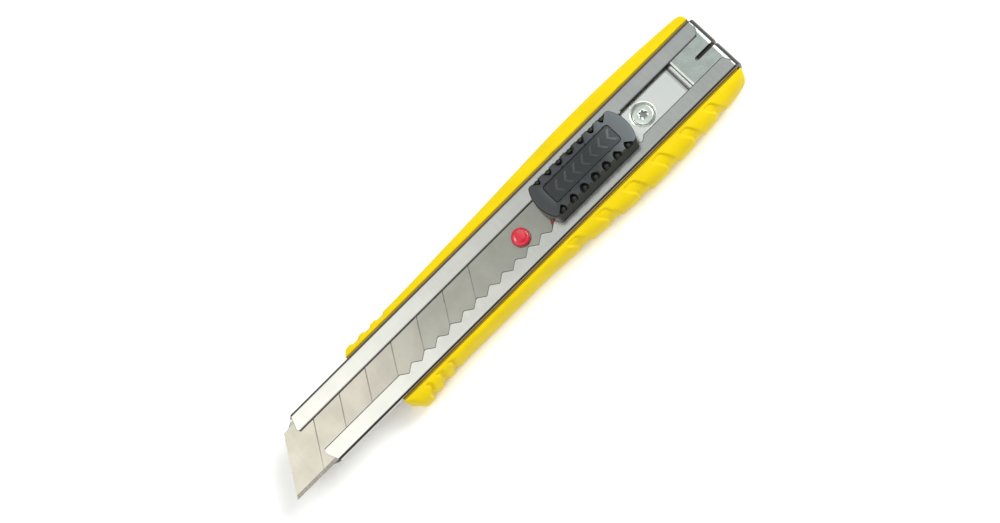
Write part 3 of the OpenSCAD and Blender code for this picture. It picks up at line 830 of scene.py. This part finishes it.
def lozenge(half_len, half_w, end_r, corner_r, along, corner_count=8, end_count=24):
    """Closed outline of two straight sides, round corners and shallow end arcs, by tangent circles.

    along holds the side points' places from -1 to 1, so every outline keeps the same order of points.
    """
    centre = half_len - end_r
    corner_y = half_w - corner_r
    corner_x = centre + math.sqrt(max((end_r - corner_r) ** 2 - corner_y ** 2, 0))
    meet = math.atan2(corner_y, corner_x - centre)
    a = np.linspace(np.pi / 2, meet, corner_count + 1)[1:]
    corner = np.stack([corner_x + corner_r * np.cos(a), corner_y + corner_r * np.sin(a)], -1)
    b = np.linspace(meet, -meet, end_count + 1)[1:-1]
    end = np.stack([centre + end_r * np.cos(b), end_r * np.sin(b)], -1)
    side = np.stack([along * corner_x, np.full_like(along, half_w)], -1)
    rear = np.concatenate([corner, end, corner[::-1] * (1, -1)])
    return np.concatenate([side, rear, side[::-1] * (1, -1), rear[::-1] * (-1, 1) * (1, 1)])


def bar(half_len, half_w, corner_r, along):
    """A lozenge with nearly flat ends."""
    return lozenge(half_len, half_w, 60.0, corner_r, along)


def inset(outline, distance):
    """The outline moved inward along its own normals."""
    ahead = np.roll(outline, -1, 0) - np.roll(outline, 1, 0)
    size = np.maximum(np.linalg.norm(ahead, axis=1, keepdims=True), 1e-9)
    normal = np.stack([ahead[:, 1], -ahead[:, 0]], -1) / size
    outward = np.sign((normal * outline).sum(1).mean())
    return outline - normal * outward * distance


def at_height(outline, z, centre):
    """An outline as a row of points at height z."""
    return np.column_stack([outline[:, 0] + centre[0], outline[:, 1] + centre[1],
                            np.full(len(outline), z)])


def dome(centre, radius, foot, top, count=16):
    """A round nub: straight side and a quarter-ellipse cap, turned about Z."""
    t = np.linspace(0, np.pi / 2, 6)
    r = np.concatenate([[1.0], np.cos(t[:-1]), [1e-4]]) * radius
    cap = 0.62 * radius
    z = np.concatenate([[foot], top - cap + cap * np.sin(t[:-1]), [top]])
    a = np.linspace(0, 2 * np.pi, count, endpoint=False)
    ring = np.stack([centre[0] + r[:, None] * np.cos(a), centre[1] + r[:, None] * np.sin(a),
                     np.broadcast_to(z[:, None], (len(r), count))], -1)
    return shell(with_caps(ring))


def chevrons(x, y, pitch, width, reach):
    """Height from 0 to 1 of a row of arrow strokes that point toward -X, each one width wide."""
    lean = 0.75 * np.abs(y)
    off = np.abs(np.mod(x - lean + pitch / 2, pitch) - pitch / 2)
    return ease(width / 2 + 0.07, width / 2 - 0.07, off) * ease(reach, reach - 0.14, np.abs(y))


class KNIFE_OT_slider_button(bpy.types.Operator):
    """Slider button: drafted body, side pockets with nubs, and a grooved panel with thumb ribs"""
    bl_idname = "knife.slider_button"
    bl_label = "Slider Button"
    pockets = 7
    pocket_pitch = 4.53
    pocket_r = 1.28
    pocket_reach = 2.0

    def drop(self, share):
        """How far the face falls away at a share of the half length: a square law, more at the rear."""
        return np.where(share > 0, 0.42, 0.22) * np.clip(np.abs(share) - 0.25, 0, None) ** 2 / 0.5625

    def crowned(self, points, middle, half_len, from_z):
        """Lowers the top toward both ends."""
        lowered = points.copy()
        drop = self.drop((points[:, 0] - middle[0]) / half_len)
        lowered[:, 2] -= drop * ease(from_z, from_z + 1.2, points[:, 2])
        return lowered

    def plate(self, middle, top_z, groove):
        """Round-cornered plate inside the groove, with a row of raised arrow strokes."""
        along = np.linspace(-1, 1, 261)
        half_w = 3.2
        steps = [0.0, 0.03, 0.09] + list(np.arange(0.18, half_w - 0.1, 0.1))
        rows = [at_height(bar(13.5, half_w, 0.75, along), top_z - groove - 0.1, middle)]
        for d in steps:
            outline = bar(13.5 - d, half_w - d, max(0.75 - d, 0.04), along)
            row = at_height(outline, top_z - 0.2, middle)
            fade = ease(12.9, 12.5, np.abs(outline[:, 0]))
            row[:, 2] += 0.17 * chevrons(outline[:, 0], outline[:, 1], 3.6, 0.95, 2.3) * fade
            row[:, 2] -= max(0.06 - d, 0) + max(0.04 - d, 0)
            rows.append(row)
        rows.append(at_height(bar(13.5 - steps[-1], 0.1, 0.04, along) * (1, 0), top_z - 0.2, middle))
        rows[-1][:, 2] += 0.17 * chevrons(rows[-1][:, 0] - middle[0], 0 * rows[-1][:, 0], 3.6, 0.95,
                                          2.3) * ease(12.9, 12.5, np.abs(rows[-1][:, 0] - middle[0]))
        under = at_height(bar(13.5, half_w, 0.75, along) * (1, 0), top_z - groove - 0.1, middle)
        return shell(np.array([under] + rows))

    def side_places(self, corner_x):
        """Places along a side from -1 to 1, closer at each pocket's mouth, and each place's pocket depth."""
        places, depth = [-1.0], [0.0]
        phi = np.linspace(0, np.pi, 15)
        for k in range(self.pockets):
            middle = (k - (self.pockets - 1) / 2) * self.pocket_pitch
            gap = np.linspace(places[-1] * corner_x, middle - self.pocket_r, 5)[1:-1]
            places += list(gap / corner_x) + list((middle - self.pocket_r * np.cos(phi)) / corner_x)
            depth += [0.0] * len(gap) + list(np.sin(phi) ** 0.8)
        gap = np.linspace(places[-1] * corner_x, corner_x, 5)[1:]
        return np.array(places + list(gap / corner_x)), np.array(depth + [0.0] * len(gap))

    def execute(self, context):
        sizes = context.scene.knife_sizes
        low, high = span("slider_button")
        middle = (low + high) / 2
        base_high = span("slider_base")[1]
        half_len, half_w = (high[0] - low[0]) / 2, high[1]
        end_r, corner_r = 11.6, 1.3
        top_w = half_w - 0.62
        foot_z, top_z = low[2], high[2]
        ledge_z = top_z - sizes.pocket_depth
        along, depth = self.side_places(half_len - 3.1)
        blank = np.zeros(2 * 8 + 23)
        notch = np.concatenate([depth, blank, depth[::-1], blank]) * self.pocket_reach

        def body(z, drawn_in=0.0, notched=False):
            share = (z - foot_z) / (top_z - foot_z)
            width = half_w + (top_w - half_w) * share
            outline = lozenge(half_len - 0.12 * share, width, end_r, corner_r, along)
            if notched:
                outline[:, 1] -= np.sign(outline[:, 1]) * notch
            return at_height(inset(outline, drawn_in), z, middle)

        def panel(drawn_in, z):
            outline = bar(13.8 - drawn_in, 3.5 - drawn_in, max(1.0 - drawn_in, 0.3), along)
            return at_height(outline, z, middle)

        cavity_len = 16.0
        lip_z = base_high[2] - 1.65
        inner = bar(cavity_len, 5.35, 0.3, along)
        wide = bar(cavity_len, 5.75, 0.3, along)
        ceiling = base_high[2] + 0.4
        groove = sizes.groove_depth
        rows = [
            at_height(wide * (1, 0), ceiling, middle), at_height(wide, ceiling, middle),
            at_height(wide, lip_z, middle), at_height(inner, lip_z, middle),
            at_height(inner, foot_z, middle), body(foot_z, 0.18), body(foot_z + 0.18),
            body(foot_z + 2.4), body(ledge_z - 0.06), body(ledge_z, 0.06),
            body(ledge_z + 0.001, 0.06, True), body(ledge_z + 0.05, 0.0, True),
            body(top_z - 0.5, 0.0, True), body(top_z - 0.36, 0.03, True),
            body(top_z - 0.2, 0.12, True), body(top_z - 0.08, 0.24, True),
            body(top_z - 0.02, 0.38, True), body(top_z, 0.52, True),
            panel(0.0, top_z), panel(0.05, top_z - 0.03), panel(0.1, top_z - 0.12),
            panel(0.12, top_z - groove), at_height(bar(13.3, 3.0, 0.5, along) * (1, 0),
                                                   top_z - groove, middle),
        ]
        shells = [shell(np.array(rows)), self.plate(middle, top_z, groove)]
        for side in (-1, 1):
            for k in range(self.pockets):
                place = (middle[0] + (k - (self.pockets - 1) / 2) * self.pocket_pitch,
                         side * (top_w - 0.72))
                shells.append(dome(place, 0.78, ledge_z - 0.2, top_z - 0.42))
        shells = [(self.crowned(points, middle, half_len, ledge_z), quads) for points, quads in shells]
        piece = mesh_piece("slider_button_cap", shells, "button", ["slider_button"],
                           MATERIALS["button"], crease=40)

        def painted_sheen(x, y, z):
            """Painted sheen: the face is painted paler than its rim and pockets, most at the rear."""
            deep = top_z - z - self.drop((x - middle[0]) / half_len)
            plate = (np.abs(x - middle[0]) < 13.6) & (np.abs(y) < 3.3) & (deep < 0.25)
            face = np.where(plate, 0.45 + 0.55 * ease(0.16, 0.05, deep), ease(0.16, 0.03, deep))
            return face * (0.26 + 0.74 * ease(middle[0] + 3, high[0] - 1.5, x))

        mark(piece.data, painted_sheen)
        return {"FINISHED"}


class KNIFE_OT_blade_carrier(bpy.types.Operator):
    """Carrier: a tongue under the blade, a guide rib beside it and a dished stud through its hole"""
    bl_idname = "knife.blade_carrier"
    bl_label = "Blade Carrier"

    def execute(self, context):
        low, high = span("blade_carrier")
        blade_low, blade_high = span("snap_blade")
        along = np.linspace(-1, 1, 9)
        middle = (low + high) / 2
        half_len = (high[0] - low[0]) / 2
        tongue_top = blade_low[2]
        soft = 0.12

        def slab(half_w, centre_y, z0, z1):
            centre = (middle[0], centre_y)
            rows = [at_height(bar(half_len - soft, half_w - soft, 0.5, along), z0, centre),
                    at_height(bar(half_len, half_w, 0.6, along), z0 + soft, centre),
                    at_height(bar(half_len, half_w, 0.6, along), z1 - soft, centre),
                    at_height(bar(half_len - soft, half_w - soft, 0.5, along), z1, centre)]
            return shell(with_caps(np.array(rows)))

        rib_in, rib_out = blade_high[1] + 0.15, high[1]
        stud_x = low[0] + 4.6
        stud_y = (blade_low[1] + blade_high[1]) / 2
        stud_r = 2.95
        profile = np.array([
            (stud_r, tongue_top - 0.1), (stud_r, high[2] - 0.75), (stud_r - 0.06, high[2] - 0.55),
            (stud_r - 0.2, high[2] - 0.3), (stud_r - 0.42, high[2] - 0.1), (stud_r - 0.7, high[2]),
            (stud_r - 0.95, high[2] - 0.03), (stud_r - 1.2, high[2] - 0.16),
            (stud_r - 1.7, high[2] - 0.26), (0.6, high[2] - 0.3),
        ])
        a = np.linspace(0, 2 * np.pi, 72, endpoint=False)
        ring = np.stack([stud_x + profile[:, :1] * np.cos(a), stud_y + profile[:, :1] * np.sin(a),
                         np.broadcast_to(profile[:, 1:], (len(profile), len(a)))], -1)
        shells = [slab(high[1], 0.0, low[2], tongue_top),
                  slab((rib_out - rib_in) / 2, (rib_in + rib_out) / 2, tongue_top - 0.1,
                       blade_high[2]),
                  shell(with_caps(ring))]
        mesh_piece("blade_carrier_body", shells, "carriage", ["blade_carrier"],
                   MATERIALS["carrier"], crease=50)
        return {"FINISHED"}


class KNIFE_OT_slider_works(bpy.types.Operator):
    """Slider base, lock pawl, springs and rivets under the button"""
    bl_idname = "knife.slider_works"
    bl_label = "Slider Works"

    def execute(self, context):
        softened_copy("slider_base_block", "slider_base", "carriage",
                      MATERIALS["inner_black"], 0.08)
        softened_copy("lock_pawl_steel", "lock_pawl", "pawl",
                      MATERIALS["spring"], 0.06)
        for name in ("pawl_spring", "front_button_spring", "rear_button_spring", "front_rivet",
                     "rear_rivet"):
            dress(name, MATERIALS["spring"])
        return {"FINISHED"}


# ---------------------------------------------------------------- clip and fasteners

def arc(cx, cz, r, start, stop, count):
    """Points of a circular arc in the XZ plane, angles in degrees from +X toward +Z."""
    a = np.radians(np.linspace(start, stop, count))
    return np.stack([cx + r * np.cos(a), cz + r * np.sin(a)], -1)


class KNIFE_OT_end_clip(bpy.types.Operator):
    """End clip: one strip of steel along a bent path, wider behind the channel, slit for snapping"""
    bl_idname = "knife.end_clip"
    bl_label = "End Clip"

    def execute(self, context):
        low, high = span("end_clip")
        shoulder_x = span("blade_channel")[1][0] + 0.1
        t = 0.8
        bend_r, lip_r = 2.5, 1.0
        mid = t / 2
        top = high[2]
        slit_x, slit_half = high[0] - 8.15, 0.68
        plate_from, plate_to = low[0] + lip_r, high[0] - bend_r
        flat = np.unique(np.concatenate([
            np.linspace(plate_from, plate_to, 40)[1:-1],
            slit_x - slit_half * np.cos(np.linspace(0, np.pi / 2, 9))]))
        curl_r = 3.0
        curl_z = low[2] + 2.0
        curl = arc(high[0] - mid - curl_r, curl_z, curl_r, 0, -38, 8)
        path = np.concatenate([
            [(low[0] + mid, span("blade_channel")[1][2] - 2.15)],
            arc(plate_from, top - lip_r, lip_r - mid, 180, 90, 9),
            np.stack([flat, np.full_like(flat, top - mid)], -1),
            arc(plate_to, top - bend_r, bend_r - mid, 90, 0, 17),
            [(high[0] - mid, z) for z in np.linspace(top - bend_r, curl_z, 8)[1:-1]],
            curl,
        ])
        way = np.gradient(path, axis=0)
        way /= np.linalg.norm(way, axis=1, keepdims=True)
        normal = np.stack([-way[:, 1], way[:, 0]], -1)
        outer, inner = path + normal * mid, path - normal * mid
        across = np.where(path[:, 0] < shoulder_x, 9.7, 10.3)
        over = slit_x - path[:, 0]
        gap = np.where(over > slit_half, 0.0,
                       np.sqrt(np.clip(slit_half ** 2 - np.clip(over, 0, None) ** 2, 0, None)))
        behind = np.arange(len(path)) > np.argmax(path[:, 0] > slit_x)
        gap = np.where(behind, slit_half, gap)
        share = np.linspace(0, 1, 9)
        y = gap[:, None] + (across - gap)[:, None] * share[None]
        faces, points = [], []
        for side in (1, -1):
            upper = np.stack([np.broadcast_to(outer[:, :1], y.shape), side * y,
                              np.broadcast_to(outer[:, 1:], y.shape)], -1)
            lower = np.stack([np.broadcast_to(inner[:, :1], y.shape), side * y,
                              np.broadcast_to(inner[:, 1:], y.shape)], -1)[:, ::-1]
            ring = np.concatenate([upper, lower], axis=1)
            rows, columns = ring.shape[:2]
            quads = grid_faces(rows, columns)
            closing = quads[:, 0] % columns == columns - 1
            row = quads[:, 0] // columns
            joined = closing & (gap[row] == 0) & (gap[row + 1] == 0)
            quads = quads[~joined]
            ends = [[r * columns + i, r * columns + i + 1, (r + 1) * columns - 2 - i,
                     (r + 1) * columns - 1 - i] for r in (0, rows - 1) for i in range(8)]
            quads = np.concatenate([quads, np.array(ends)])
            faces.append(quads + sum(len(p) for p in points))
            points.append(ring.reshape(-1, 3))
        piece = mesh_piece("end_clip_steel", [(np.concatenate(points), np.concatenate(faces))],
                           "clip", ["end_clip"], MATERIALS["clip"], crease=40)
        # painted dark reflection across the clip's rear bend and end wall
        mark(piece.data, lambda x, y, z: ease(high[0] - 1.6, high[0] - 1.45, x))
        bevel = piece.modifiers.new("edge rounding", "BEVEL")
        bevel.width, bevel.segments = 0.12 * MM, 2
        bevel.limit_method, bevel.angle_limit = "ANGLE", math.radians(40)
        bevel.use_clamp_overlap = True
        bevel.harden_normals = True
        return {"FINISHED"}


class KNIFE_OT_fasteners(bpy.types.Operator):
    """Channel screws: a turned head whose driving recess has six round lobes, and the inserts they turn into"""
    bl_idname = "knife.fasteners"
    bl_label = "Fasteners"

    def screw(self, name):
        low, high = span(name)
        middle = (low + high) / 2
        top = high[2]
        seat = top - 1.2
        head_r = 3.3
        a = np.linspace(0, 2 * np.pi, 96, endpoint=False)
        lobes = 1.12 + 0.26 * np.cos(6 * a)
        rim = np.radians(np.linspace(0, 90, 6))
        turned = ([(1.45, low[2]), (1.45, seat), (head_r, seat)]
                  + [(head_r - 0.35 * (1 - math.cos(t)), top - 0.3 * (1 - math.sin(t)) - 0.04)
                     for t in rim] + [(2.3, top - 0.01), (1.9, top)])
        rings = [np.column_stack([r * np.cos(a), r * np.sin(a), np.full_like(a, z)])
                 for r, z in turned]
        for grow, z in ((0.12, top), (0.03, top - 0.04), (0.0, top - 0.12), (-0.04, top - 0.85),
                        (-0.35, top - 0.9)):
            rings.append(np.column_stack([(lobes + grow) * np.cos(a), (lobes + grow) * np.sin(a),
                                          np.full_like(a, z)]))
        points = np.array(rings) + (middle[0], middle[1], 0)
        piece = mesh_piece(f"{name}_steel", [shell(with_caps(points))], "handle",
                           [name], MATERIALS["screw"], crease=40)
        # painted shade in the screw's driving recess
        mark(piece.data, lambda x, y, z: 0.62 * (np.hypot(x - middle[0], y - middle[1]) < 1.6)
             * ease(top - 0.02, top - 0.1, z))

    def execute(self, context):
        for place in ("front", "rear"):
            self.screw(f"{place}_channel_screw")
            dress(f"{place}_insert", MATERIALS["brass"])
        return {"FINISHED"}


# ---------------------------------------------------------------- stage

VIEW_TILT = 16.0
VIEW_ROLL = 44.8
VIEW_DISTANCE = 575.0
VIEW_LENS = 68.5
AIM_DROP = 1.77


def soft_light(name, place, target, size, power):
    """A square softbox at place, in metres, turned to target."""
    light = bpy.data.lights.new(name, "AREA")
    light.shape = "RECTANGLE"
    light.size, light.size_y = size
    light.energy = power
    lamp = bpy.data.objects.new(name, light)
    lamp.location = place
    lamp.rotation_euler = (Vector(target) - Vector(place)).to_track_quat("-Z", "Y").to_euler()
    bpy.context.scene.collection.objects.link(lamp)
    return lamp


def surround(scene):
    """Grey walls with dark drapes across +Y and -Y, under a ceiling that dims toward the knife's rear."""
    world = bpy.data.worlds.new("surroundings")
    world.use_nodes = True
    tree = world.node_tree
    tree.nodes.clear()
    direction = add(tree, "ShaderNodeTexCoord").outputs["Generated"]
    way = add(tree, "ShaderNodeSeparateXYZ", {"Vector": direction}).outputs

    def share(value, start, stop):
        return add(tree, "ShaderNodeMapRange", {"Value": value, "From Min": start,
                                                "From Max": stop}).outputs[0]

    aside = add(tree, "ShaderNodeMath", {0: way["X"]}, operation="ABSOLUTE").outputs[0]
    bare = add(tree, "ShaderNodeMath", {0: share(aside, 0.18, 0.24), 1: share(way["Z"], 0.40, 0.30)},
               operation="MAXIMUM").outputs[0]
    walls = ramp(tree, bare, (0.0, 0.015), (1.0, 0.26))
    ceiling = ramp(tree, share(way["X"], -0.24, 0.24), (0.0, (1.0, 0.985, 0.935)),
                   (0.26, (0.90, 0.89, 0.845)), (0.43, (0.50, 0.50, 0.478)),
                   (0.6, (0.32, 0.33, 0.326)), (0.78, (0.255, 0.276, 0.28)),
                   (1.0, (0.24, 0.26, 0.27)))
    sky = add(tree, "ShaderNodeMix", {0: share(way["Z"], 0.78, 0.90), 6: walls, 7: ceiling},
              data_type="RGBA")
    glow = add(tree, "ShaderNodeBackground", {"Color": sky.outputs[2], "Strength": 2.2})
    add(tree, "ShaderNodeOutputWorld", {"Surface": glow.outputs[0]})
    scene.world = world


class KNIFE_OT_stage(bpy.types.Operator):
    """Pale floor, softboxes, dim surroundings and the camera"""
    bl_idname = "knife.stage"
    bl_label = "Stage"

    def execute(self, context):
        floor_mesh = bpy.data.meshes.new("floor")
        reach = 3.0
        drop = -0.02 * MM
        floor_mesh.from_pydata([(-reach, -reach, drop), (reach, -reach, drop),
                                (reach, reach, drop), (-reach, reach, drop)], [], [(0, 1, 2, 3)])
        floor = bpy.data.objects.new("floor", floor_mesh)
        bpy.context.scene.collection.objects.link(floor)
        # a light table: it glows a little, so that the shadows stay soft
        paint, tree, shader = new_material("light_table")
        shader.inputs["Base Color"].default_value = (*context.scene.knife_colours.floor, 1)
        shader.inputs["Roughness"].default_value = 0.7
        shader.inputs["Emission Color"].default_value = (1, 1, 1, 1)
        shader.inputs["Emission Strength"].default_value = 0.12
        floor_mesh.materials.append(paint)

        face = (0.0, 0.0, CAD_HIGH[2])
        soft_light("front_softbox", (-0.85, 0.1, 0.80), face, (0.8, 0.8), 2)
        soft_light("rear_softbox", (0.80, 0.05, 0.80), face, (0.6, 0.6), 9)
        surround(context.scene)
        context.scene.view_settings.view_transform = "Standard"

        tilt, roll = math.radians(VIEW_TILT), math.radians(VIEW_ROLL)
        back = Vector((0, -math.sin(tilt), math.cos(tilt)))
        level_up = Vector((0, math.cos(tilt), math.sin(tilt)))
        level_right = Vector((1, 0, 0))
        right = level_right * math.cos(roll) - level_up * math.sin(roll)
        up = level_right * math.sin(roll) + level_up * math.cos(roll)
        face_z = span("blade_channel")[1][2]
        aim = Vector((0, 0, face_z)) - level_up * AIM_DROP
        camera = bpy.data.cameras.new("camera")
        camera.lens = VIEW_LENS
        camera.sensor_width = 36
        camera.clip_start = 0.01
        eye = bpy.data.objects.new("camera", camera)
        turn = Matrix((right, up, back)).transposed().to_4x4()
        eye.matrix_world = Matrix.Translation((aim + back * VIEW_DISTANCE) * MM) @ turn
        bpy.context.scene.collection.objects.link(eye)
        context.scene.camera = eye
        return {"FINISHED"}


# ---------------------------------------------------------------- add-on

MATERIALS = {}
PIECE_OPERATORS = (
    KNIFE_OT_spine_grip, KNIFE_OT_edge_grip, KNIFE_OT_palm_pad, KNIFE_OT_handle_core,
    KNIFE_OT_blade_channel, KNIFE_OT_snap_blade, KNIFE_OT_blade_carrier, KNIFE_OT_slider_button,
    KNIFE_OT_slider_works, KNIFE_OT_end_clip, KNIFE_OT_fasteners, KNIFE_OT_stage,
)


class KNIFE_PT_pieces(bpy.types.Panel):
    """Lists the knife's pieces"""
    bl_idname = "KNIFE_PT_pieces"
    bl_label = "Utility Knife"
    bl_space_type = "VIEW_3D"
    bl_region_type = "UI"
    bl_category = "Knife"

    def draw(self, context):
        for group in (context.scene.knife_sizes, context.scene.knife_colours):
            for name in group.bl_rna.properties.keys():
                if name not in ("rna_type", "name"):
                    self.layout.prop(group, name)
        for operator in PIECE_OPERATORS:
            self.layout.operator(operator.bl_idname)


CLASSES = (KnifeColours, KnifeSizes, *PIECE_OPERATORS, KNIFE_PT_pieces)


def register():
    for cls in CLASSES:
        bpy.utils.register_class(cls)
    bpy.types.Scene.knife_colours = bpy.props.PointerProperty(type=KnifeColours)
    bpy.types.Scene.knife_sizes = bpy.props.PointerProperty(type=KnifeSizes)


def unregister():
    del bpy.types.Scene.knife_sizes
    del bpy.types.Scene.knife_colours
    for cls in reversed(CLASSES):
        bpy.utils.unregister_class(cls)


def make_materials(colours):
    """Every finish of the knife, by the piece that wears it."""
    edge_x, edge_y = span("snap_blade")[0][:2]
    return {
        "grip": moulded_plastic("elastomer_yellow", tuple(colours.grip), 0.50, 0.3, 0.012,
                                specular=0.16),
        "core": moulded_plastic("abs_dark_yellow", tuple(colours.core), 0.34, 0.4, 0.006),
        "stainless": rolled_stainless(tuple(colours.stainless)),
        "blade": ground_blade_steel(tuple(colours.blade), edge_x, edge_y),
        "button": moulded_plastic("abs_black", tuple(colours.button), 0.42, 0.2, 0.008, coat=0.04,
                                  tone=0.1, specular=0.3),
        "inner_black": moulded_plastic("acetal_black", tuple(colours.inner_black), 0.3),
        "carrier": moulded_plastic("acetal_red", tuple(colours.carrier), 0.28, coat=0.4),
        "screw": grained_metal("zinc_plate", tuple(colours.screw), 0.3, 0.30),
        "clip": grained_metal("stamped_steel", tuple(colours.clip), 0.35, 0.26, 0.003),
        "brass": grained_metal("turned_brass", tuple(colours.brass), 0.3, 0.28),
        "spring": grained_metal("spring_wire", tuple(colours.spring), 0.2, 0.25, 0.004),
    }


def main():
    register()
    MATERIALS.update(make_materials(bpy.context.scene.knife_colours))
    for operator in PIECE_OPERATORS:
        group, name = operator.bl_idname.split(".")
        getattr(getattr(bpy.ops, group), name)()


if __name__ == "__main__":
    main()
